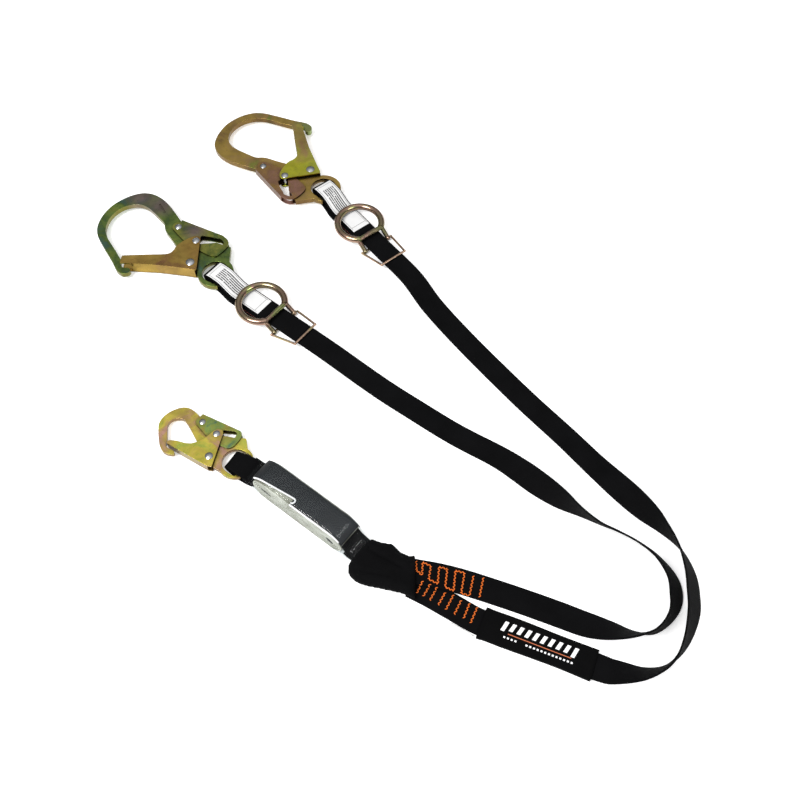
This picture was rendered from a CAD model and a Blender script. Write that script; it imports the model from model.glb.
"""Twin-leg shock absorbing lanyard: camera, light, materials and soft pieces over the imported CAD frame."""

import math
from collections import namedtuple

import bpy
from mathutils import Matrix, Vector, noise


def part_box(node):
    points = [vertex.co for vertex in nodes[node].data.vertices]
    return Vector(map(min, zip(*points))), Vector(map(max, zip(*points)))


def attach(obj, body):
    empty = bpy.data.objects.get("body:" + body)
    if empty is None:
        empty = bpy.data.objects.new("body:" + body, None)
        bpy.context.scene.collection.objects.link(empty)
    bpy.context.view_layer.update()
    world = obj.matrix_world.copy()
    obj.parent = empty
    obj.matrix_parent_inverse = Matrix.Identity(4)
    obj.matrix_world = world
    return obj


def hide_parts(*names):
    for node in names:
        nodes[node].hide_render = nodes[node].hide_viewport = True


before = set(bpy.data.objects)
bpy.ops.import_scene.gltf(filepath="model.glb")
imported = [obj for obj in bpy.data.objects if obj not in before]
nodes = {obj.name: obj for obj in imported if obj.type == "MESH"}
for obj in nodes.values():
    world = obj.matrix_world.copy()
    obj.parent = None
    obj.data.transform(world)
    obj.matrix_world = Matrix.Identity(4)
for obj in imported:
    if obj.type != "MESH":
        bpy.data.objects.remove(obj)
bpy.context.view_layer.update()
MM = 0.001


def middle(node):
    low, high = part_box(node)
    return (Vector(low) + Vector(high)) / 2


# ---------------------------------------------------------------- layout
# Millimetres on the floor, counted from BASE. A hook has its gate pivot at (x, y), its upper face at the
# height top, its length turned by turn degrees, and is mirrored where it lies on its other face.
Hook = namedtuple("Hook", "x y top turn mirrored")
HOOKS = {
    "outer": Hook(-139.4, 408.3, 11.65, 103.8, False),
    "inner": Hook(-306.4, 223.4, 11.65, 178.2, True),
    "snap": Hook(-247.9, -94.6, 8.75, 167.2, True),
}
pivot = middle("outer_hook_gate_pivot")
BASE = Vector((pivot.x - HOOKS["outer"].x * MM, pivot.y - HOOKS["outer"].y * MM, 0))


def hook_point(hook, p):
    """A point of a hook's own plane, counted from its gate pivot, in the layout."""
    x, y = p[0], -p[1] if hook.mirrored else p[1]
    c, s = math.cos(math.radians(hook.turn)), math.sin(math.radians(hook.turn))
    return Vector((hook.x + x * c - y * s, hook.y + x * s + y * c))


REBAR_EYE = (-38, -13)
SNAP_EYE = (-35, 1.5)
EYES = {
    "outer": hook_point(HOOKS["outer"], REBAR_EYE),
    "inner": hook_point(HOOKS["inner"], REBAR_EYE),
    "snap": hook_point(HOOKS["snap"], SNAP_EYE),
}
# The way in which each strap leaves its hook's eye, in degrees.
HEADING = {"outer": -51.5, "inner": -38.4, "snap": -32.0}


def along(side, s):
    """The layout point at s mm along a strap from its hook's eye."""
    a = math.radians(HEADING[side])
    return EYES[side].x + s * math.cos(a), EYES[side].y + s * math.sin(a)


def local_frame(x, y, degrees):
    """Millimetres in a frame turned about Z, placed at (x, y) of the layout, to the row frame."""
    return (Matrix.Translation(BASE) @ Matrix.Scale(MM, 4)
            @ Matrix.Translation((x, y, 0)) @ Matrix.Rotation(math.radians(degrees), 4, "Z"))


LAYOUT = local_frame(0, 0, 0)
STRAP_FRAME = {k: local_frame(EYES[k].x, EYES[k].y, HEADING[k]) for k in EYES}

# ---------------------------------------------------------------- camera
camera = bpy.data.objects.new("camera", bpy.data.cameras.new("camera"))
bpy.context.scene.collection.objects.link(camera)
camera.data.lens = 45
camera.data.sensor_width = 36
camera.data.clip_end = 20
ELEVATION = math.radians(58.5)
DISTANCE = 1.3605
camera.location = BASE + Vector((0, -math.cos(ELEVATION), math.sin(ELEVATION))) * DISTANCE
camera.rotation_euler = (math.pi / 2 - ELEVATION, 0, 0)
bpy.context.scene.camera = camera

# ---------------------------------------------------------------- curves and meshes
# The webbing's width and thickness, and the height of its upper ply near the hooks.
WEB_W, WEB_T, WEB_Z = 33.0, 2.6, 7.6


def smooth(points, steps):
    """Catmull-Rom curve through points of any dimension."""
    out = []
    last = len(points) - 1
    for i in range(last):
        a, b = points[max(i - 1, 0)], points[i]
        c, d = points[i + 1], points[min(i + 2, last)]
        for k in range(steps):
            t = k / steps
            out.append(tuple(
                0.5 * (2 * q + (r - p) * t + (2 * p - 5 * q + 4 * r - s) * t * t
                       + (3 * q - p - 3 * r + s) * t ** 3)
                for p, q, r, s in zip(a, b, c, d)))
    out.append(tuple(points[-1]))
    return out


def piece(name, verts, faces, body="webbing", uvs=None, mat=None, slot=None, replaces=(), flat=False):
    """A mesh object that rides on a body, with its material, its slot and the CAD nodes it stands for."""
    mesh = bpy.data.meshes.new(name)
    mesh.from_pydata([tuple(v) for v in verts], [], faces)
    if uvs is not None:
        layer = mesh.uv_layers.new(name="uv")
        for poly in mesh.polygons:
            for li in poly.loop_indices:
                layer.data[li].uv = uvs[mesh.loops[li].vertex_index]
    mesh.update()
    obj = bpy.data.objects.new(name, mesh)
    bpy.context.scene.collection.objects.link(obj)
    for poly in mesh.polygons:
        poly.use_smooth = not flat
    if mat:
        mesh.materials.append(mat)
    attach(obj, body)
    if replaces:
        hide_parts(*replaces)
    return obj


def modifier(obj, kind, **values):
    m = obj.modifiers.new(kind.lower(), kind)
    for key, value in values.items():
        setattr(m, key, value)
    return m


# Half section of a band, from its left edge to its right: share of the half-width, share of the thickness.
EDGE = [(-1.0, 0.0), (-0.985, 0.34), (-0.95, 0.46), (-0.86, 0.5), (-0.5, 0.47), (0.0, 0.46), (0.5, 0.47),
        (0.86, 0.5), (0.95, 0.46), (0.985, 0.34), (1.0, 0.0)]


def ribbon(name, centres, sides, half, thick, matrix=LAYOUT, **kw):
    """A woven band through centres (mm) with its width along sides; half and thick may vary by point."""
    n = len(centres)
    centres = [Vector(c) for c in centres]
    ring = [(a, b) for a, b in EDGE] + [(a, -b) for a, b in EDGE[-2:0:-1]]
    k = len(ring)
    verts, uvs, run = [], [], 0.0
    for i in range(n):
        if i:
            run += (centres[i] - centres[i - 1]).length
        d = (centres[min(i + 1, n - 1)] - centres[max(i - 1, 0)]).normalized()
        w = Vector(sides[i]).normalized()
        u = w.cross(d).normalized()
        h = half[i] if hasattr(half, "__len__") else half
        t = thick[i] if hasattr(thick, "__len__") else thick
        for a, b in ring:
            verts.append(matrix @ (centres[i] + w * a * h + u * b * t))
            uvs.append((run, a * h))
    faces = [list(range(k))]
    for i in range(n - 1):
        for j in range(k):
            faces.append([i * k + j, (i + 1) * k + j, (i + 1) * k + (j + 1) % k, i * k + (j + 1) % k])
    faces.append([(n - 1) * k + j for j in range(k - 1, -1, -1)])
    return piece(name, verts, faces, uvs=uvs, **kw)


def tube(name, points, radius, matrix=LAYOUT, sides=8, **kw):
    """A round thread or cord through points (mm)."""
    pts = [Vector(p) for p in points]
    verts, n = [], len(pts)
    for i, p in enumerate(pts):
        d = (pts[min(i + 1, n - 1)] - pts[max(i - 1, 0)]).normalized()
        a = d.cross(Vector((0, 0, 1)))
        a = a.normalized() if a.length > 1e-6 else Vector((1, 0, 0))
        b = d.cross(a)
        for j in range(sides):
            t = 2 * math.pi * j / sides
            verts.append(matrix @ (p + (a * math.cos(t) + b * math.sin(t)) * radius))
    faces = [list(range(sides))]
    for i in range(n - 1):
        for j in range(sides):
            faces.append([i * sides + j, i * sides + (j + 1) % sides,
                          (i + 1) * sides + (j + 1) % sides, (i + 1) * sides + j])
    faces.append([(n - 1) * sides + j for j in range(sides)])
    return piece(name, verts, faces, **kw)


# ---------------------------------------------------------------- materials
class Nodes:
    """Small helper round one material's node tree."""

    def __init__(self, name):
        self.mat = bpy.data.materials.new(name)
        self.mat.use_nodes = True
        self.tree = self.mat.node_tree
        self.tree.nodes.clear()
        self.out = self.add("ShaderNodeOutputMaterial")

    def add(self, kind, inputs=None, **props):
        node = self.tree.nodes.new(kind)
        for key, value in props.items():
            setattr(node, key, value)
        for key, value in (inputs or {}).items():
            self.put(node, key, value)
        return node

    def put(self, node, key, value):
        socket = node.inputs[key]
        if isinstance(value, bpy.types.NodeSocket):
            self.tree.links.new(value, socket)
        else:
            socket.default_value = value

    def math(self, op, a, b=0.0, c=0.0):
        return self.add("ShaderNodeMath", {0: a, 1: b, 2: c}, operation=op).outputs[0]

    def position(self):
        return self.add("ShaderNodeTexCoord").outputs["Object"]

    def noise(self, scale, detail=3.0, vector=None, distortion=0.0, roughness=0.5):
        node = self.add("ShaderNodeTexNoise", {"Scale": scale, "Detail": detail, "Distortion": distortion,
                                               "Roughness": roughness})
        self.put(node, "Vector", vector or self.position())
        return node.outputs["Fac"]

    def ramp(self, fac, stops, mode="LINEAR"):
        node = self.add("ShaderNodeValToRGB", {"Fac": fac})
        node.color_ramp.interpolation = mode
        while len(node.color_ramp.elements) < len(stops):
            node.color_ramp.elements.new(1.0)
        for e, (at, col) in zip(node.color_ramp.elements, stops):
            e.position = at
            e.color = (*col, 1)
        return node.outputs["Color"]

    def mix(self, fac, a, b, blend="MIX"):
        node = self.add("ShaderNodeMix", data_type="RGBA", blend_type=blend)
        for index, value in ((0, fac), (6, a), (7, b)):
            if isinstance(value, bpy.types.NodeSocket):
                self.tree.links.new(value, node.inputs[index])
            elif index == 0:
                node.inputs[0].default_value = value
            else:
                node.inputs[index].default_value = (*value, 1)
        return node.outputs[2]

    def bump(self, height, strength, distance, normal=None):
        node = self.add("ShaderNodeBump", {"Height": height, "Strength": strength, "Distance": distance})
        if normal is not None:
            self.put(node, "Normal", normal)
        return node.outputs["Normal"]

    def surface(self, **inputs):
        names = {"color": "Base Color", "metal": "Metallic", "rough": "Roughness", "normal": "Normal",
                 "spec": "Specular IOR Level", "sheen": "Sheen Weight", "coat": "Coat Weight",
                 "aniso": "Anisotropic", "glow": "Emission Color", "glow_power": "Emission Strength"}
        bsdf = self.add("ShaderNodeBsdfPrincipled")
        for key, value in inputs.items():
            if key == "color" and not isinstance(value, bpy.types.NodeSocket):
                value = (*value, 1)
            self.put(bsdf, names[key], value)
        self.tree.links.new(bsdf.outputs[0], self.out.inputs["Surface"])
        return self.mat


def weave(name, dark, light, rib=1.55, column=1.15, rough=0.82, spec=0.22, depth=0.35):
    """Ribbed plain weave on a band whose UV is its own millimetres (along, across)."""
    n = Nodes(name)
    uv = n.add("ShaderNodeUVMap", uv_map="uv").outputs[0]
    parts = n.add("ShaderNodeSeparateXYZ", {0: uv})
    x, y = parts.outputs[0], parts.outputs[1]
    cell = n.math("FLOOR", n.math("DIVIDE", y, column))
    shift = n.math("MULTIPLY", n.math("MODULO", n.math("ABSOLUTE", cell), 2.0), 0.5)
    wave = n.math("SINE", n.math("MULTIPLY", n.math("ADD", n.math("DIVIDE", x, rib), shift), 2 * math.pi))
    across = n.math("SINE", n.math("MULTIPLY", n.math("DIVIDE", y, column), math.pi))
    height = n.math("ADD", n.math("MULTIPLY", wave, 0.5), n.math("MULTIPLY", n.math("ABSOLUTE", across), 0.7))
    fuzz = n.noise(900.0, 2.0)
    height = n.math("ADD", height, n.math("MULTIPLY", fuzz, 0.5))
    worn = n.noise(28.0, 4.0)
    tone = n.math("MULTIPLY", n.math("ADD", n.math("MULTIPLY", wave, 0.25), worn), 0.8)
    color = n.mix(tone, dark, light)
    return n.surface(color=color, rough=rough, spec=spec,
                     normal=n.bump(height, 0.7, depth * MM))


def zinc(name, stops, scale=22.0, rough=0.3, seed=0.0, bands=(), side=None, gain=0.62):
    """Passivated zinc on stamped steel: drifting interference colours, fine grain and small dents.

    bands are round patches (centre, radius, tint), and side is the colour of the upright walls.
    """
    n = Nodes(name)
    pos = n.add("ShaderNodeVectorMath", {0: n.position(), 1: (seed, seed * 0.7, seed * 0.3)},
                operation="ADD").outputs[0]
    drift = n.noise(scale, 3.5, pos, 0.9, 0.55)
    fine = n.noise(scale * 9, 3.0, pos, 0.4)
    fac = n.math("ADD", n.math("MULTIPLY", n.math("SUBTRACT", drift, 0.5), 2.1),
                 n.math("ADD", n.math("MULTIPLY", n.math("SUBTRACT", fine, 0.5), 0.35), 0.5))
    color = n.ramp(fac, stops)
    if side:
        normal = n.add("ShaderNodeNewGeometry").outputs["Normal"]
        up = n.math("ABSOLUTE", n.add("ShaderNodeSeparateXYZ", {0: normal}).outputs[2])
        wall = n.add("ShaderNodeMapRange", {"Value": up, "From Min": 0.75, "From Max": 0.35},
                     clamp=True).outputs[0]
        share = n.math("MULTIPLY", wall, n.math("ADD", n.math("MULTIPLY", drift, 0.6), 0.5))
        color = n.mix(share, color, side)
    for centre, radius, tint in bands:
        gap = n.add("ShaderNodeVectorMath", {0: n.position(), 1: tuple(centre)}, operation="DISTANCE")
        near = n.add("ShaderNodeMapRange", {"Value": gap.outputs["Value"], "From Min": radius,
                                            "From Max": radius * 0.3, "To Min": 0.0, "To Max": 0.8},
                     clamp=True).outputs[0]
        share = n.math("MULTIPLY", near, n.math("ADD", n.math("MULTIPLY", fine, 0.6), 0.6))
        color = n.mix(share, color, tint)
    # Lighter and darker clouds over the plating, then dirt in the creases.
    cloud = n.math("ADD", n.math("MULTIPLY", n.noise(scale * 2.2, 4.0, pos, 0.6), gain), gain * 0.5)
    shade = n.add("ShaderNodeCombineColor", {0: cloud, 1: cloud, 2: cloud}).outputs[0]
    color = n.mix(1.0, color, shade, "MULTIPLY")
    open_sky = n.add("ShaderNodeAmbientOcclusion", {"Distance": 6 * MM}, samples=4).outputs["AO"]
    color = n.mix(n.math("MULTIPLY", n.math("SUBTRACT", 1.0, open_sky), 1.6), color, (0.03, 0.02, 0.01))
    grain = n.noise(1400.0, 2.0)
    dents = n.noise(160.0, 3.0)
    roughness = n.math("ADD", n.math("MULTIPLY", fine, 0.2), rough - 0.1)
    height = n.math("ADD", n.math("MULTIPLY", dents, 1.0), n.math("MULTIPLY", grain, 0.12))
    return n.surface(color=color, metal=1.0, rough=roughness, normal=n.bump(height, 0.3, 0.1 * MM))


GREEN = (0.17, 0.26, 0.08)
TEAL = (0.13, 0.25, 0.18)
OLIVE = (0.42, 0.44, 0.1)
GOLD = (0.7, 0.48, 0.12)
BROWN = (0.42, 0.25, 0.08)
PINK = (0.62, 0.32, 0.26)
MAUVE = (0.36, 0.24, 0.27)
LIME = (0.68, 0.72, 0.12)
YELLOW = (0.85, 0.66, 0.08)
SILVER = (0.72, 0.75, 0.78)

web_mat = weave("black_webbing", (0.0005, 0.0005, 0.0006), (0.0045, 0.0045, 0.0052), spec=0.06)
sleeve_mat = weave("sleeve_weave", (0.0004, 0.0004, 0.0004), (0.003, 0.003, 0.0033), rib=0.8, column=0.8,
                   spec=0.06, depth=0.2)
cream_mat = weave("tear_weave", (0.5, 0.5, 0.44), (0.8, 0.8, 0.74), rib=1.2, column=1.2)

# ---------------------------------------------------------------- the two legs, declared as cords
# Each point is (x, y, height of the band's middle, roll in degrees: 0 lies flat and 90 stands on its edge).
OUTER_ROUTE = [
    (14, -266, 1.9, 0), (40, -280, 1.9, 0), (68, -297, 2.4, 0), (95, -313, 3.4, 0), (140, -331, 3.4, 0),
    (185, -349, 3.4, 0), (232, -368, 3.4, 0), (252, -374, 5, 18), (283, -377, 13, 52), (312, -367, 16.5, 82),
    (334, -341, 16, 108), (349, -306, 13.8, 126), (353, -280, 13.2, 130), (353, -253, 13.8, 126),
    (345, -223, 15.5, 112), (328, -196, 16.5, 88), (306, -168, 13.5, 52), (282, -136, 7, 22),
    (255, -102, 2.5, 4), (219, -58, 1.7, 0), (166, 3, 1.7, 0), (97, 89, 1.7, 0), (48, 155, 3.4, 0)]
INNER_ROUTE = [
    (14, -249, 4.8, 0), (42, -254, 4.8, 0), (70, -261, 4.6, 0), (100, -270, 2.6, 0), (146, -286, 1.7, 0),
    (193, -304, 1.7, 0), (222, -316, 2.4, 6), (248, -325, 8, 28), (275, -331, 14.5, 60), (300, -328, 16.5, 86),
    (320, -311, 16, 106), (331, -287, 13.6, 128), (331, -262, 13.8, 128), (317, -236, 14.8, 120),
    (296, -216, 15, 117), (272, -201, 15, 116), (250, -190, 15.5, 112), (226, -174, 16.4, 96),
    (203, -156, 15.2, 66), (179, -134, 10.5, 38), (155, -110, 5, 14), (128, -88, 1.9, 2), (74, -55, 1.7, 0),
    (22, -18, 1.7, 0), (-30, 20, 3.4, 0)]


def rest_height(z, roll):
    """Height of the band's middle: as stated, or higher where its lower edge would cut the floor."""
    return max(z, WEB_W / 2 * abs(math.sin(roll)) + WEB_T / 2 * abs(math.cos(roll)) + 0.2)


# Distances from the hook's eye at which each leg lies straight and level.
STRAIGHT = (215, 150, 100, 47)


def leg(side, route):
    """One leg: its route from the junction, then the straight stretch up to its hook's end loop."""
    route = route + [(*along(side, s), WEB_Z, 0) for s in STRAIGHT]
    line = smooth(route, 8)
    centres = [Vector((p[0], p[1], rest_height(p[2], math.radians(p[3])))) for p in line]
    sides = []
    for i, p in enumerate(line):
        d = centres[min(i + 1, len(line) - 1)] - centres[max(i - 1, 0)]
        left = Vector((-d.y, d.x, 0)).normalized()
        roll = math.radians(p[3])
        sides.append(-left * math.cos(roll) + Vector((0, 0, math.sin(roll))))
    strap = ribbon(f"{side}_leg_strap", centres, sides, WEB_W / 2, WEB_T, mat=web_mat, slot="webbing",
                   replaces=(f"{side}_leg_webbing",))
    return strap


leg("outer", OUTER_ROUTE)
leg("inner", INNER_ROUTE)


# ---------------------------------------------------------------- end loops and labels of the two legs
def label_material():
    """White woven label: thin border, rows of unreadable marks and an empty box at the far end."""
    # All in the label's own millimetres: x along it from the hook, y across it from its middle.
    line, ends, box_at, border_side = 0.9, (4.0, 94.0), 68.0, (12.3, 13.2)
    row_pitch, row_share, first_row, last_row, text_from, text_to = 3.2, 0.55, -9.6, 9.5, 13.0, 62.0
    n = Nodes("label_cloth")
    uv = n.add("ShaderNodeUVMap", uv_map="uv").outputs[0]
    parts = n.add("ShaderNodeSeparateXYZ", {0: uv})
    x, y = parts.outputs[0], parts.outputs[1]

    def within(v, low, high):
        return n.math("MULTIPLY", n.math("GREATER_THAN", v, low), n.math("LESS_THAN", v, high))

    def breaks(stretch, jump, level):
        """Gaps along each row, at places that differ from row to row."""
        place = n.add("ShaderNodeCombineXYZ", {0: n.math("MULTIPLY", x, stretch),
                                               1: n.math("MULTIPLY", n.math("FLOOR", row), jump)}).outputs[0]
        return n.math("GREATER_THAN", n.noise(1.0, 0.0, place), level)

    side = n.math("ABSOLUTE", y)
    cross = [within(x, at, at + line) for at in (ends[0], box_at, ends[1])]
    border = n.math("MAXIMUM", n.math("MULTIPLY", within(side, *border_side), within(x, ends[0], 98.0)),
                    n.math("MULTIPLY", within(side, -1.0, 13.1),
                           n.math("MAXIMUM", cross[0], n.math("MAXIMUM", cross[1], cross[2]))))
    row = n.math("DIVIDE", n.math("SUBTRACT", y, first_row), row_pitch)
    on_row = n.math("LESS_THAN", n.math("FRACT", row), row_share)
    words = breaks(0.55, 7.3, 0.33)
    strokes = breaks(2.3, 3.1, 0.24)
    rows = n.math("MULTIPLY", n.math("MULTIPLY", on_row, n.math("MULTIPLY", words, strokes)),
                  n.math("MULTIPLY", within(x, text_from, text_to), within(y, first_row, last_row)))
    ink = n.math("MAXIMUM", n.math("MULTIPLY", border, 0.6), n.math("MULTIPLY", rows, 0.95))
    cloth = n.mix(n.noise(60.0, 3.0), (0.56, 0.56, 0.56), (0.68, 0.68, 0.68))
    color = n.mix(ink, cloth, (0.01, 0.01, 0.01))
    return n.surface(color=color, rough=0.6, spec=0.3,
                     normal=n.bump(n.noise(500.0, 2.0), 0.5, 0.12 * MM))


label_mat = label_material()


def plain(name, color, rough=0.6, grain=400.0, depth=0.1):
    """Thread, print or cloth of one colour with a slight grain."""
    n = Nodes(name)
    tone = n.mix(n.noise(grain / 8, 3.0), tuple(c * 0.75 for c in color), color)
    return n.surface(color=tone, rough=rough, metal=0.0, spec=0.4,
                     normal=n.bump(n.noise(grain, 3.0), 0.5, depth * MM))


thread_mat = plain("orange_thread", (0.85, 0.17, 0.012), 0.55, grain=1500.0, depth=0.2)
red_thread_mat = plain("rust_thread", (0.16, 0.025, 0.015), 0.7, grain=1500.0, depth=0.2)
white_mat = plain("white_print", (0.85, 0.85, 0.86), 0.55, grain=900.0)
rust_mat = plain("rust_print", (0.5, 0.13, 0.05), 0.6, grain=900.0)
tag_mat = plain("tag_cloth", (0.8, 0.8, 0.78), 0.7, grain=900.0)


def profile_ribbon(name, points, half, thick, matrix, **kw):
    """A band whose centre line is (s, v, z) in a strap's own frame and whose width is level."""
    line = smooth(points, 8)
    return ribbon(name, [p[:3] for p in line], [(0, -1, 0)] * len(line),
                  [half * (p[3] if len(p) > 3 else 1.0) for p in line], thick, matrix=matrix, **kw)


# Centre lines near a hook: (distance from the eye, sideways, height, share of the full width).
END_LOOP = [(47, 0, 7.6, 1), (38, 0, 10.0, 1), (29, 0, 14.8, 1), (21, 0, 18.2, 1), (14, 0, 19.4, 0.98),
            (4, 0, 19.2, 0.95), (-4, 0, 17.6, 0.92), (-9, 0, 14.2, 0.89), (-10.5, 0, 10.4, 0.87),
            (-9, 0, 6.4, 0.89), (-4, 0, 3.6, 0.93), (5, 0, 2.0, 0.97), (16, 0, 1.7, 1), (28, -2, 2.2, 1),
            (40, -5, 4.2, 1), (50, -6, 4.9, 1), (80, -6, 4.9, 1), (108, -6, 4.9, 1)]
LABEL_LINE = [(-3.5, 0, 19.6), (3, 0, 21.1), (14, 0, 21.3), (22, 0, 20.0), (30, 0, 16.2), (39, 0, 11.6),
              (47, 0, 9.45), (60, 0, 9.3), (80, 0, 9.3), (96, 0, 9.3)]
LABEL_HALF = 14.6
for side in ("outer", "inner"):
    profile_ribbon(f"{side}_eye_loop", END_LOOP, WEB_W / 2, WEB_T - 0.1, STRAP_FRAME[side], mat=web_mat,
                   slot="webbing", replaces=(f"{side}_leg_end_loop",))
    profile_ribbon(f"{side}_label_cloth", LABEL_LINE, LABEL_HALF, 0.5, STRAP_FRAME[side], mat=label_mat,
                   slot="label", replaces=(f"{side}_leg_label",))

# One stitch: its points as shares of its half-length, half-width and height, and the faces between them.
STITCH_POINTS = [(-1, 0, 0.1), (-0.6, -0.8, 0.2), (-0.6, 0.8, 0.2), (0, -1, 0.3), (0, 1, 0.3),
                 (0.6, -0.8, 0.2), (0.6, 0.8, 0.2), (1, 0, 0.1), (-0.5, 0, 1), (0, 0, 1.15), (0.5, 0, 1)]
STITCH_FACES = [(0, 1, 8), (0, 8, 2), (1, 3, 9, 8), (2, 8, 9, 4), (3, 5, 10, 9), (4, 9, 10, 6), (5, 7, 10),
                (6, 10, 7), (0, 2, 1), (1, 2, 4, 3), (3, 4, 6, 5), (5, 6, 7)]


def stitches(name, lines, z_at, mat, matrix=LAYOUT, pitch=2.4, size=(1.9, 0.78, 0.6), slant=52):
    """Rows of short raised stitches, each leaning the other way from the one before."""
    verts, faces = [], []
    for a, b in lines:
        a, b = Vector(a), Vector(b)
        count = max(1, round((b - a).length / pitch))
        d = (b - a).normalized()
        for i in range(count):
            p = a + (b - a) * ((i + 0.5) / count)
            turn = math.radians(slant if i % 2 else -slant)
            c, s = math.cos(turn), math.sin(turn)
            e = Vector((d.x * c - d.y * s, d.x * s + d.y * c))
            f = Vector((-e.y, e.x))
            z = z_at(p)
            base = len(verts)
            for u, w, h in STITCH_POINTS:
                q = p + e * u * size[0] + f * w * size[1]
                verts.append(matrix @ Vector((q.x, q.y, z + h * size[2])))
            faces += [[base + t for t in face] for face in STITCH_FACES]
    return piece(name, verts, faces, mat=mat, slot="thread")


# The seam along the lower ply's edge, where the end loop returns under the leg.
RETURN_SEAM = [((58, -20.4), (106, -20.4))]
RETURN_SEAM_Z = 6.15
for side in ("outer", "inner"):
    stitches(f"{side}_return_stitches", RETURN_SEAM, lambda p: RETURN_SEAM_Z, red_thread_mat,
             matrix=STRAP_FRAME[side], pitch=3.0, size=(1.3, 0.5, 0.35), slant=8)

# ---------------------------------------------------------------- junction, bar tacks, sleeve and tag
# The passes of the two bar tacks, each from one edge of the leg to the other.
UPPER = [((20, -236), (20, -248)), ((28, -238), (27, -255)), ((38, -243), (35, -260)), ((48, -244), (46, -266)),
         ((58, -247), (55, -270)), ((68, -249), (65, -275)), ((79, -252), (74, -278)), ((90, -255), (84, -281)),
         ((102, -257), (96, -283))]
LOWER = [((28, -262), (20, -277)), ((37, -266), (28, -281)), ((45, -270), (36, -286)), ((55, -276), (46, -292)),
         ((65, -279), (55, -298)), ((74, -286), (65, -304)), ((84, -290), (76, -309)), ((93, -295), (84, -315))]


def joined(lines):
    """The passes of a bar tack and the short steps that join them, at alternate ends."""
    out = list(lines)
    for i in range(len(lines) - 1):
        end = i % 2
        out.append((lines[i][1 - end], lines[i + 1][1 - end]))
    return out


def over_inner_leg(p):
    """Whether a point is above the lower edge of the inner leg, which lies on the outer one here."""
    t = (p.x - 14) / 86
    return p.y > -249 - 21 * t - 16.9


def tack_height(p):
    """Height of the webbing's upper face under a stitch: the inner leg comes down past x = 78."""
    if over_inner_leg(p):
        return 6.25 if p.x < 78 else max(4.3, 6.25 - (p.x - 78) * 0.075)
    return 3.3 + max(0.0, (p.x - 40) * 0.03)


# The inner tack is one thread up to its last pass; the outer tack's passes stand apart.
tack = stitches("inner_tack_stitches", joined(UPPER)[:-1], tack_height, thread_mat)
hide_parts("inner_leg_bar_tack")
tack = stitches("outer_tack_stitches", LOWER, tack_height, thread_mat)
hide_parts("outer_leg_bar_tack")


def lump(name, outline, low, high, mat, replaces=(), folds=()):
    """A soft folded mass: an outline blown up to a rounded solid, with creases pressed in along folds.

    Each fold is (start, end, depth, width).
    """
    step, edge_round, lumpy, lump_size = 1.5, 11.0, 0.5, 9.0
    pts = smooth(outline + [outline[0]], 6)
    xs, ys = [p[0] for p in pts], [p[1] for p in pts]

    def inside(x, y):
        hit = False
        for (x1, y1), (x2, y2) in zip(pts, pts[1:]):
            if (y1 > y) != (y2 > y) and x < (x2 - x1) * (y - y1) / (y2 - y1) + x1:
                hit = not hit
        return hit

    def gap(x, y):
        best = 1e9
        for (x1, y1), (x2, y2) in zip(pts, pts[1:]):
            dx, dy = x2 - x1, y2 - y1
            t = max(0.0, min(1.0, ((x - x1) * dx + (y - y1) * dy) / max(dx * dx + dy * dy, 1e-9)))
            best = min(best, math.hypot(x - x1 - t * dx, y - y1 - t * dy))
        return best

    grid, verts, faces = {}, [], []
    nx, ny = int((max(xs) - min(xs)) / step) + 2, int((max(ys) - min(ys)) / step) + 2
    for i in range(nx):
        for j in range(ny):
            x, y = min(xs) + i * step, min(ys) + j * step
            if inside(x, y):
                d = gap(x, y)
                rise = (high - low) / 2 * math.sqrt(max(0.0, 1 - (1 - min(d / edge_round, 1.0)) ** 2))
                top = (low + high) / 2 + rise
                for (ax, ay), (bx, by), depth, width in folds:
                    t = max(0.0, min(1.0, ((x - ax) * (bx - ax) + (y - ay) * (by - ay))
                                     / ((bx - ax) ** 2 + (by - ay) ** 2)))
                    q = math.hypot(x - ax - t * (bx - ax), y - ay - t * (by - ay))
                    top -= depth * math.exp(-(q / width) ** 2)
                top += lumpy * noise.noise(Vector((x, y, 3.0)) / lump_size)
                grid[i, j] = len(verts)
                verts.append(LAYOUT @ Vector((x, y, top)))
                verts.append(LAYOUT @ Vector((x, y, max(0.3, (low + high) / 2 - rise))))
    uvs = []
    for (i, j) in grid:
        uvs += [(i * step, j * step)] * 2
    edge = {}
    for (i, j), v in grid.items():
        quad = [grid.get(k) for k in ((i, j), (i + 1, j), (i + 1, j + 1), (i, j + 1))]
        if None not in quad:
            faces.append(quad)
            faces.append([q + 1 for q in reversed(quad)])
            for a, b in zip(quad, quad[1:] + quad[:1]):
                edge[a, b] = edge.get((a, b), 0) + 1
    for a, b in edge:
        if (b, a) not in edge:
            faces.append([b, a, a + 1, b + 1])
    obj = piece(name, verts, faces, uvs=uvs, mat=mat, slot="webbing", replaces=replaces)
    modifier(obj, "SMOOTH", iterations=4, factor=0.6)
    return obj


JUNCTION_OUTLINE = [(-46, -215), (-58, -230), (-65, -246), (-61, -259), (-47, -268), (-26, -273), (0, -279),
                    (14, -285), (19, -286), (19, -258), (19, -231), (12, -230), (0, -224), (-8, -215),
                    (-22, -212), (-36, -208)]
JUNCTION_FOLDS = [((-40, -222), (2, -246), 2.5, 3.0), ((-56, -250), (-12, -258), 1.8, 2.5),
                  ((-10, -222), (14, -240), 2.0, 2.5)]
lump("junction_fold", JUNCTION_OUTLINE, 0.4, 15.0, web_mat, replaces=("leg_junction_loop",),
     folds=JUNCTION_FOLDS)

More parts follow.
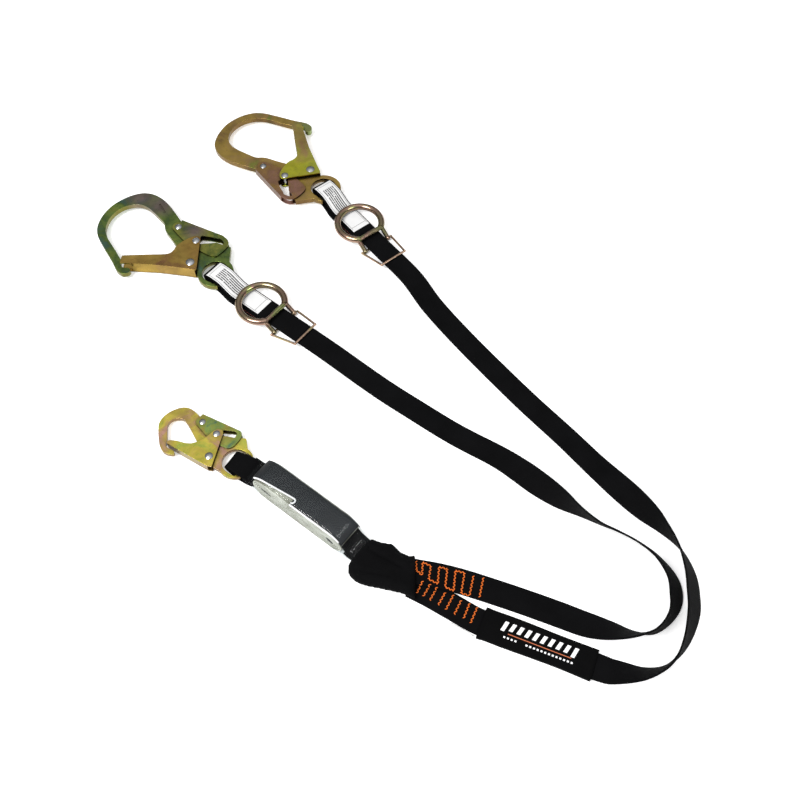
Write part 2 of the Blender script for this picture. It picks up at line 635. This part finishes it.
SLEEVE = local_frame(97, -313.8, -21.9)
SLEEVE_L, SLEEVE_HALF, SLEEVE_T, SLEEVE_Z = 140, 19.6, 6.2, 3.5
SLEEVE_TOP = SLEEVE_Z + 2.92
sleeve_line = [(s, 0.8 * math.sin(s / 50), SLEEVE_Z) for s in range(0, SLEEVE_L + 1, 4)]
# Slightly wavy edges, and a hem that stands out at the junction's end.
sleeve_half = [SLEEVE_HALF + 0.5 * math.sin(s[0] / 21) + (0.7 if s[0] < 6 else 0) for s in sleeve_line]
ribbon("printed_sleeve", sleeve_line, [(0, -1, 0)] * len(sleeve_line), sleeve_half, SLEEVE_T, matrix=SLEEVE,
       mat=sleeve_mat, slot="webbing", replaces=("outer_leg_sleeve",))


def plates(name, shapes, mat, z=SLEEVE_TOP, matrix=SLEEVE, thick=0.12):
    """Thin flat printed shapes on the sleeve, each a polygon in the plane z of its frame."""
    verts, faces = [], []
    for shape in shapes:
        base, k = len(verts), len(shape)
        for h in (z, z + thick):
            verts += [matrix @ Vector((x, y, h)) for x, y in shape]
        faces.append([base + k + i for i in range(k)])
        faces.append([base + i for i in range(k - 1, -1, -1)])
        faces += [[base + i, base + (i + 1) % k, base + k + (i + 1) % k, base + k + i] for i in range(k)]
    return piece(name, verts, faces, mat=mat, slot="label", flat=True)


def slanted_bar(i):
    """One of ten bars across the sleeve, of which the first and the last are taller."""
    x, top, wide, lean = 24 + i * 9.6, 11.5, 4.6, 2.8
    foot = top - (12.5 if i in (0, 9) else 10.0)
    return [(x, foot), (x + wide, foot), (x + wide + lean, top), (x + lean, top)]


def small_square(i):
    left, right, low, high = 30 + i * 4.6, 32.4 + i * 4.6, -8.6, -6.4
    return [(left, low), (right, low), (right, high), (left, high)]


plates("sleeve_stripes", [slanted_bar(i) for i in range(10)], white_mat)
plates("sleeve_squares", [small_square(i) for i in range(19) if i not in (4, 5)], white_mat)
plates("sleeve_rule", [[(34, -2.9), (112, -2.9), (112, -2.0), (34, -2.0)]], rust_mat)
tube("edge_tag", [(60, -313.5, 1.1), (69, -318.5, 1.1), (78, -324, 1.1), (87, -329.5, 1.1)], 1.0, mat=tag_mat,
     slot="label", replaces=("folded_edge_tag",))

# ---------------------------------------------------------------- energy absorber
# Along the pack from the snap hook, across it to its far side, and up; STACK_Z is the stack's lowest height.
PACK = local_frame(-118.8, -168.6, -38)
STACK_L, STACK_H, STACK_W, STACK_Z = 146.0, 40.0, 35.0, 1.2
LAYER = 2.7


def stack_material():
    """Undyed tear webbing seen on edge: fine folded layers that turn round at both ends."""
    n = Nodes("tear_webbing_folds")
    parts = n.add("ShaderNodeSeparateXYZ", {0: n.add("ShaderNodeUVMap", uv_map="uv").outputs[0]})
    a, h = parts.outputs[0], parts.outputs[1]
    over = n.math("MAXIMUM", n.math("SUBTRACT", n.math("ABSOLUTE", a), STACK_L / 2 - STACK_H / 2), 0.0)
    ring = n.math("SQRT", n.math("ADD", n.math("MULTIPLY", over, over), n.math("MULTIPLY", h, h)))
    ring = n.math("ADD", ring, n.math("MULTIPLY", n.noise(40.0, 2.0), 1.6))
    layer = n.math("SINE", n.math("MULTIPLY", ring, 2 * math.pi / LAYER))
    fuzz = n.noise(700.0, 4.0)
    blotch = n.noise(60.0, 4.0)
    tone = n.math("ADD", n.math("MULTIPLY", layer, 0.16), n.math("ADD", n.math("MULTIPLY", fuzz, 0.5),
                                                                 n.math("MULTIPLY", blotch, 0.55)))
    color = n.ramp(tone, [(0.34, (0.12, 0.12, 0.09)), (0.5, (0.32, 0.32, 0.27)), (0.66, (0.58, 0.58, 0.52))])
    # Dark slots where the innermost folds turn: place along, half-length, height and narrowness of each.
    for centre, reach, level, tall in ((-50.0, 9.0, 3.0, 0.14), (54.0, 5.5, 0.0, 0.06)):
        off = n.math("DIVIDE", n.math("SUBTRACT", a, centre), reach)
        lean = n.math("SUBTRACT", n.math("SUBTRACT", h, level), n.math("MULTIPLY", off, -1.2))
        lens = n.math("ADD", n.math("MULTIPLY", off, off),
                      n.math("MULTIPLY", n.math("MULTIPLY", lean, lean), tall))
        color = n.mix(n.math("LESS_THAN", lens, 1.0), color, (0.03, 0.03, 0.028))
    height = n.math("ADD", n.math("MULTIPLY", layer, 0.6), n.math("MULTIPLY", fuzz, 0.6))
    return n.surface(color=color, rough=0.85, spec=0.2, normal=n.bump(height, 0.6, 0.5 * MM))


def capsule(length, height, arc=24):
    """A round-ended outline (along, up) that stands on zero."""
    r = height / 2
    x = length / 2 - r
    right = [(x + r * math.cos(t), r + r * math.sin(t)) for t in
             (math.radians(-90 + 180 * i / arc) for i in range(arc + 1))]
    left = [(-px, pz) for px, pz in reversed(right)]
    return right + left


def folded_stack():
    """The block of folded webbing: one round-ended outline across its width, with eased edges."""
    half = STACK_W / 2
    levels = [(-half, 0.9), (-half + 0.3, 0.35), (-half + 1.1, 0.0), (half - 1.1, 0.0), (half - 0.3, 0.35),
              (half, 0.9)]
    verts, uvs = [], []
    for y, inset in levels:
        ring = capsule(STACK_L - 2 * inset, STACK_H - 2 * inset)
        verts += [PACK @ Vector((x, y, z + STACK_Z + inset)) for x, z in ring]
        uvs += [(x, z + inset - STACK_H / 2) for x, z in ring]
    k, last = len(ring), len(levels) - 1
    faces = [list(range(k))]
    for i in range(last):
        faces += [[i * k + j, (i + 1) * k + j, (i + 1) * k + (j + 1) % k, i * k + (j + 1) % k]
                  for j in range(k)]
    faces.append([last * k + j for j in range(k - 1, -1, -1)])
    return piece("tear_webbing_folds", verts, faces, uvs=uvs, mat=stack_material(), slot="tear_webbing",
                 replaces=("tear_webbing_stack",))


folded_stack()


def cover_material():
    """Dull charcoal sheet."""
    n = Nodes("cover_sheet")
    tone = n.mix(n.noise(45.0, 4.0), (0.007, 0.008, 0.009), (0.016, 0.018, 0.021))
    return n.surface(color=tone, rough=0.55, spec=0.18, normal=n.bump(n.noise(260.0, 4.0), 0.3, 0.2 * MM))


cover_mat = cover_material()


def sheet_piece(name, columns, thick, mat, matrix, slot, replaces=()):
    """A thin solid sheet from a grid of points (mm), thickened downwards, and inwards on its hanging side."""
    verts, faces, uvs = [], [], []
    rows = len(columns[0])
    for under in (False, True):
        for col in columns:
            for p in col:
                q = Vector(p)
                if under:
                    q = q + Vector((0, -0.35 if q.z < 38 else 0, -thick))
                verts.append(matrix @ q)
                uvs.append((p[0], p[1]))
    n, half = len(columns), len(columns) * rows
    for i in range(n - 1):
        for j in range(rows - 1):
            a = i * rows + j
            faces.append([a, a + rows, a + rows + 1, a + 1])
            faces.append([half + a, half + a + 1, half + a + rows + 1, half + a + rows])
    rim = ([i * rows for i in range(n)] + [(n - 1) * rows + j for j in range(1, rows)]
           + [i * rows + rows - 1 for i in range(n - 2, -1, -1)] + [j for j in range(rows - 2, 0, -1)])
    for a, b in zip(rim, rim[1:] + rim[:1]):
        faces.append([b, a, half + a, half + b])
    return piece(name, verts, faces, uvs=uvs, mat=mat, slot=slot, replaces=replaces)


COVER_T = 0.9
COVER_Z = 41.9
FAR_EDGE = 16.0
PIPING_R = 1.1


def past_end(a):
    """How far a place along the pack is into the slope at either end of the cover, 0 to 1."""
    return max(0.0, abs(a) - 56.0) / 18.0


def end_drop(a):
    return 9.0 * past_end(a) ** 2


def cover(name, a0, a1, near, lift, steps=40, across=12, down=6, **kw):
    """One half of the dark cover: over the top of the stack, down its far side, eased over the ends."""
    columns = []
    for i in range(steps + 1):
        a = a0 + (a1 - a0) * i / steps
        top = COVER_Z + lift - end_drop(a)
        col = []
        y0 = near(a)
        for j in range(across + 1):
            y = y0 + (FAR_EDGE - y0) * j / across
            crown = 0.9 * math.sin(math.pi * max(0.0, min(1.0, (y + 18) / 36)))
            col.append((a, y, top + crown + 0.25 * noise.noise(Vector((a, y, 0)) / 14)))
        edge = col[-1][2]
        for j in range(1, down + 1):
            t = j / down
            fall = 16 * t ** 1.6 * (1 - 0.5 * past_end(a))
            col.append((a, FAR_EDGE + 2.4 * math.sin(t * math.pi / 2), edge - 0.4 - fall))
        columns.append(col)
    return sheet_piece(name, columns, COVER_T, cover_mat, PACK, "cover", **kw)


def left_edge(a):
    """Near edge of the left half, which draws back from the hook's end towards the middle."""
    return -15.6 + 7.6 * max(0.0, min(1.0, (a + 74) / 62))


def right_edge(a):
    """Near edge of the right half, the same all along."""
    return -17.4


cover("cover_sheet_left", -74, -6, left_edge, 0.35, replaces=("absorber_cover_panel",))
cover("cover_sheet_right", -9, 74, right_edge, 0.0)


def edge_line(a0, a1, near, lift, steps=24):
    """The line just above a cover's near edge, where its piping lies."""
    places = [a0 + (a1 - a0) * i / steps for i in range(steps + 1)]
    return [(a, near(a) - 0.3, 42.5 + lift - end_drop(a)) for a in places]


# The left half's piping turns round its free corner.
CURL = [(-8.2, left_edge(-8), 43.0), (-6.2, -9.0, 42.9), (-5.4, -11.2, 42.8), (-6.4, -13.6, 42.7),
        (-8.6, -15.2, 42.6)]
tube("cover_piping_left", edge_line(-70, -11, left_edge, 0.5) + CURL, PIPING_R, PACK, mat=white_mat,
     slot="label")
tube("cover_piping_right", edge_line(-8.5, 70, right_edge, 0.2), PIPING_R, PACK, mat=white_mat, slot="label")


def film_material():
    """Clear shrunk film: nearly all see-through, milky on its far side and at its foot, faintly glossy.

    Its UV is its own millimetres (across the pack, up).
    """
    n = Nodes("shrink_film")
    wrinkle = n.noise(55.0, 4.0, None, 1.2)
    bump = n.bump(wrinkle, 0.8, 2.2 * MM)
    gloss = n.add("ShaderNodeBsdfGlossy", {"Color": (1, 1, 1, 1), "Roughness": 0.08, "Normal": bump})
    clear = n.add("ShaderNodeBsdfTransparent", {"Color": (0.93, 0.95, 0.95, 1)})
    milk = n.add("ShaderNodeBsdfDiffuse", {"Color": (0.7, 0.73, 0.75, 1), "Normal": bump})
    parts = n.add("ShaderNodeSeparateXYZ", {0: n.add("ShaderNodeUVMap", uv_map="uv").outputs[0]})
    far = n.add("ShaderNodeMapRange", {"Value": parts.outputs[0], "From Min": 17.8, "From Max": 20.0,
                                       "To Min": 0.0, "To Max": 0.5}, clamp=True).outputs[0]
    foot = n.add("ShaderNodeMapRange", {"Value": parts.outputs[1], "From Min": 7.0, "From Max": 1.0,
                                        "To Min": 0.0, "To Max": 0.4}, clamp=True).outputs[0]
    share = n.math("MULTIPLY", n.math("ADD", n.math("ADD", far, foot), 0.006), n.math("ADD", wrinkle, 0.35))
    first = n.add("ShaderNodeMixShader", {0: share, 1: clear.outputs[0], 2: milk.outputs[0]})
    last = n.add("ShaderNodeMixShader", {0: 0.009, 1: first.outputs[0], 2: gloss.outputs[0]})
    n.tree.links.new(last.outputs[0], n.out.inputs["Surface"])
    return n.mat


def film_shell():
    """A tube of film drawn over the stack and necked in at both ends."""
    # Each station: distance along the pack, half-width, lowest, highest.
    stations = [(-94, 16.8, 2.0, 14.5), (-88, 16.9, 2.0, 15.5), (-80, 17.6, 1.0, 21), (-74, 18.6, 0.6, 31),
                (-66, 19.2, 0.35, 40), (-54, 19.4, 0.3, 44.2), (-30, 19.3, 0.3, 44.6), (0, 19.2, 0.3, 44.6),
                (30, 19.3, 0.3, 44.6), (56, 19.4, 0.3, 44.2), (68, 19.2, 0.35, 39), (76, 18.6, 0.6, 28),
                (84, 17.8, 1.0, 21), (91, 17.2, 1.6, 18.5)]
    line = smooth(stations, 5)
    corner = 0.35  # power of the rounded-square section: 1 is an ellipse, towards 0 a square
    k = 48
    verts, faces, uvs = [], [], []
    for a, w, low, high in line:
        mid, tall = (low + high) / 2, (high - low) / 2
        for j in range(k):
            t = 2 * math.pi * j / k
            c, s = math.cos(t), math.sin(t)
            y = w * math.copysign(abs(c) ** corner, c)
            z = mid + tall * math.copysign(abs(s) ** corner, s)
            ripple = 0.45 * noise.noise(Vector((a / 7, y / 9, z / 9))) if 1.5 < z < 44 else 0.0
            verts.append(PACK @ Vector((a, y + ripple * c, z + ripple * s)))
            uvs.append((y, z))
    for i in range(len(line) - 1):
        for j in range(k):
            faces.append([i * k + j, i * k + (j + 1) % k, (i + 1) * k + (j + 1) % k, (i + 1) * k + j])
    return piece("film_skin", verts, faces, uvs=uvs, mat=film_material(), slot="film",
                 replaces=("shrink_film",))


film_shell()

# Webbing from the pack through the snap hook's eye, and the dark webbing inside the film's necks.
PACK_WEB_T = 2.4
SNAP_LOOP = [(36, 0, 13.5, 0.99), (30, 0, 14.6, 0.99), (22, 0, 15.6, 0.98), (14, 0, 15.5, 0.95),
             (6, 0, 14.6, 0.9), (-1, 0, 13.2, 0.86), (-6, 0, 10.8, 0.83), (-7.8, 0, 8.6, 0.82),
             (-6, 0, 5.6, 0.84), (-1, 0, 3.4, 0.87), (7, 0, 2.4, 0.93), (16, 0, 2.0, 0.97), (26, 0, 3.4, 1),
             (36, 0, 6.0, 1)]
profile_ribbon("snap_eye_loop", SNAP_LOOP, WEB_W / 2, PACK_WEB_T, STRAP_FRAME["snap"], mat=web_mat,
               slot="webbing", replaces=("snap_loop_webbing",))
# Name, half-width and centre line of each ply in the necks.
NECK_PLIES = [
    ("pack_lead_upper", 16.2, [(-98, 0, 12.4), (-88, 0, 12.8), (-78, 0, 16), (-70, 0, 24)]),
    ("pack_lead_lower", 16.2, [(-98, 0, 6.6), (-88, 0, 6.4), (-78, 0, 6.4), (-74.5, 0, 9)]),
    ("pack_tail_upper", 16.4, [(72, 0, 25), (78, 0, 19), (86, 0, 15.5), (95, 0, 13.2)]),
    ("pack_tail_lower", 16.4, [(74.5, 0, 8), (80, 0, 5.2), (86, 0, 5), (95, 0, 5)]),
]
for name, half, line in NECK_PLIES:
    profile_ribbon(name, line, half, PACK_WEB_T, PACK, mat=web_mat, slot="webbing")

# ---------------------------------------------------------------- finishes of the metal parts
def at(side, p):
    """A point on a hook's upper face, in the row frame."""
    q = hook_point(HOOKS[side], p)
    return tuple(LAYOUT @ Vector((q.x, q.y, HOOKS[side].top)))


inner_frame_mat = zinc("inner_frame_zinc", [(0.1, TEAL), (0.35, GREEN), (0.6, (0.3, 0.42, 0.1)), (0.9, OLIVE)],
                       20.0, side=(0.22, 0.18, 0.045),
                       bands=[(at("inner", (95, 132)), 0.03, MAUVE), (at("inner", (60, 112)), 0.028, MAUVE)])
inner_lever_mat = zinc("inner_lever_zinc", [(0.1, TEAL), (0.4, GREEN), (0.7, OLIVE)], 24.0, seed=0.3,
                       bands=[(at("inner", (2, 62)), 0.024, MAUVE)])
inner_gate_mat = zinc("inner_gate_zinc", [(0.1, (0.42, 0.22, 0.1)), (0.5, (0.6, 0.38, 0.1)), (0.9, GOLD)], 24.0,
                      seed=0.6, side=(0.4, 0.27, 0.05))
outer_frame_mat = zinc("outer_frame_zinc", [(0.1, (0.5, 0.32, 0.12)), (0.45, GOLD), (0.7, (0.62, 0.4, 0.16)),
                                            (0.95, OLIVE)], 18.0, seed=0.2, side=(0.12, 0.065, 0.025),
                       bands=[(at("outer", (95, -12)), 0.03, (0.35, 0.5, 0.2))])
outer_gate_mat = zinc("outer_gate_zinc", [(0.1, (0.4, 0.52, 0.16)), (0.45, LIME), (0.8, PINK)], 20.0, seed=0.8,
                      side=(0.13, 0.07, 0.03), bands=[(at("outer", (75, 3)), 0.05, (0.66, 0.42, 0.16)),
                                                     (at("outer", (8, 25)), 0.05, (0.95, 0.92, 0.06))])
outer_lever_mat = zinc("outer_lever_zinc", [(0.15, PINK), (0.5, (0.5, 0.28, 0.16)), (0.85, (0.6, 0.36, 0.12))],
                       24.0, seed=0.5, side=(0.11, 0.055, 0.03))
snap_mat = zinc("snap_zinc", [(0.1, (0.5, 0.56, 0.1)), (0.42, (0.72, 0.6, 0.1)), (0.68, (0.6, 0.42, 0.14)),
                              (0.9, (0.62, 0.36, 0.26))], 26.0, rough=0.3, seed=1.1,
                side=(0.14, 0.075, 0.03), gain=0.86)
snap_lever_mat = zinc("snap_lever_zinc", [(0.1, PINK), (0.4, (0.5, 0.44, 0.1)), (0.7, (0.36, 0.48, 0.12)),
                                          (0.9, TEAL)], 30.0, seed=1.4, side=(0.14, 0.07, 0.04), gain=0.78)
ring_mat = zinc("ring_zinc", [(0.1, (0.28, 0.27, 0.13)), (0.4, (0.4, 0.32, 0.2)), (0.65, (0.46, 0.28, 0.22)),
                              (0.9, (0.42, 0.48, 0.18))], 26.0, rough=0.2, seed=0.9)
keeper_mat = zinc("keeper_zinc", [(0.1, (0.6, 0.38, 0.28)), (0.5, (0.7, 0.48, 0.34)), (0.9, (0.6, 0.58, 0.25))],
                  30.0, seed=1.7)
rivet_mat = zinc("rivet_steel", [(0.1, (0.6, 0.62, 0.64)), (0.6, SILVER), (0.9, (0.85, 0.86, 0.87))], 40.0,
                 rough=0.22)
spring_mat = zinc("spring_wire", [(0.1, (0.3, 0.3, 0.31)), (0.8, (0.5, 0.5, 0.52))], 60.0, rough=0.32)

FINISH = {
    "inner_hook_frame": inner_frame_mat,
    "inner_hook_gate": inner_gate_mat,
    "inner_hook_lock_lever": inner_lever_mat,
    "outer_hook_frame": outer_frame_mat,
    "outer_hook_gate": outer_gate_mat,
    "outer_hook_lock_lever": outer_lever_mat,
    "snap_hook_frame": snap_mat,
    "snap_hook_gate": snap_mat,
    "snap_hook_lock_lever": snap_lever_mat,
    "outer_tie_back_ring": ring_mat,
    "inner_tie_back_ring": ring_mat,
    "outer_ring_keeper": keeper_mat,
    "inner_ring_keeper": keeper_mat,
}
for side in ("outer", "inner", "snap"):
    for part in ("gate_pivot", "lock_rivet", "lever_rivet"):
        FINISH[f"{side}_hook_{part}"] = rivet_mat
    for part in ("gate_spring", "lever_spring"):
        FINISH[f"{side}_hook_{part}"] = spring_mat
for name, mat in FINISH.items():
    obj = nodes[name]
    obj.data.materials.clear()
    obj.data.materials.append(mat)
    # The plates and sheets get slightly rounded edges, which catch the light.
    if name.endswith(("frame", "gate", "lever")):
        modifier(obj, "WELD", merge_threshold=0.01 * MM)
        modifier(obj, "BEVEL", width=0.5 * MM, segments=2, limit_method="ANGLE", angle_limit=math.radians(40),
                 harden_normals=True)

# ---------------------------------------------------------------- floor and light
FLOOR_HALF = 6
FLOOR_Z = -0.0002
CORNERS = ((-1, -1), (1, -1), (1, 1), (-1, 1))
floor_mesh = bpy.data.meshes.new("floor")
floor_mesh.from_pydata([(x * FLOOR_HALF, y * FLOOR_HALF, FLOOR_Z) for x, y in CORNERS], [], [[0, 1, 2, 3]])
floor = bpy.data.objects.new("floor", floor_mesh)
bpy.context.scene.collection.objects.link(floor)
floor_nodes = Nodes("floor")
floor_mesh.materials.append(floor_nodes.surface(color=(0.93, 0.93, 0.93), rough=0.9, spec=0.05,
                                                glow=(1, 1, 1, 1), glow_power=0.3))

# A soft sky, bright overhead and dim at the horizon: (height, brightness).
SKY = [(0.0, 0.08), (0.45, 0.25), (0.8, 0.45), (0.94, 0.8), (1.0, 1.0)]
SKY_POWER = 1.3
world = bpy.data.worlds.new("world")
bpy.context.scene.world = world
world.use_nodes = True
tree = world.node_tree
coord = tree.nodes.new("ShaderNodeTexCoord")
split = tree.nodes.new("ShaderNodeSeparateXYZ")
sky = tree.nodes.new("ShaderNodeValToRGB")
tree.links.new(coord.outputs["Generated"], split.inputs[0])
tree.links.new(split.outputs[2], sky.inputs["Fac"])
while len(sky.color_ramp.elements) < len(SKY):
    sky.color_ramp.elements.new(1.0)
for element, (place, value) in zip(sky.color_ramp.elements, SKY):
    element.position = place
    element.color = (value, value, value, 1)
tree.links.new(sky.outputs["Color"], tree.nodes["Background"].inputs["Color"])
tree.nodes["Background"].inputs["Strength"].default_value = SKY_POWER


def light(name, place, size, power):
    """A round area light at a place counted from BASE, turned towards BASE."""
    data = bpy.data.lights.new(name, "AREA")
    data.shape = "DISK"
    data.size = size
    data.energy = power
    obj = bpy.data.objects.new(name, data)
    bpy.context.scene.collection.objects.link(obj)
    obj.location = BASE + Vector(place)
    obj.rotation_euler = (BASE - obj.location).to_track_quat("-Z", "Y").to_euler()


light("key", (-1.1, -0.75, 1.9), 1.2, 56)
light("fill", (1.4, -1.0, 1.6), 1.0, 22)
bpy.context.scene.view_settings.view_transform = "Standard"
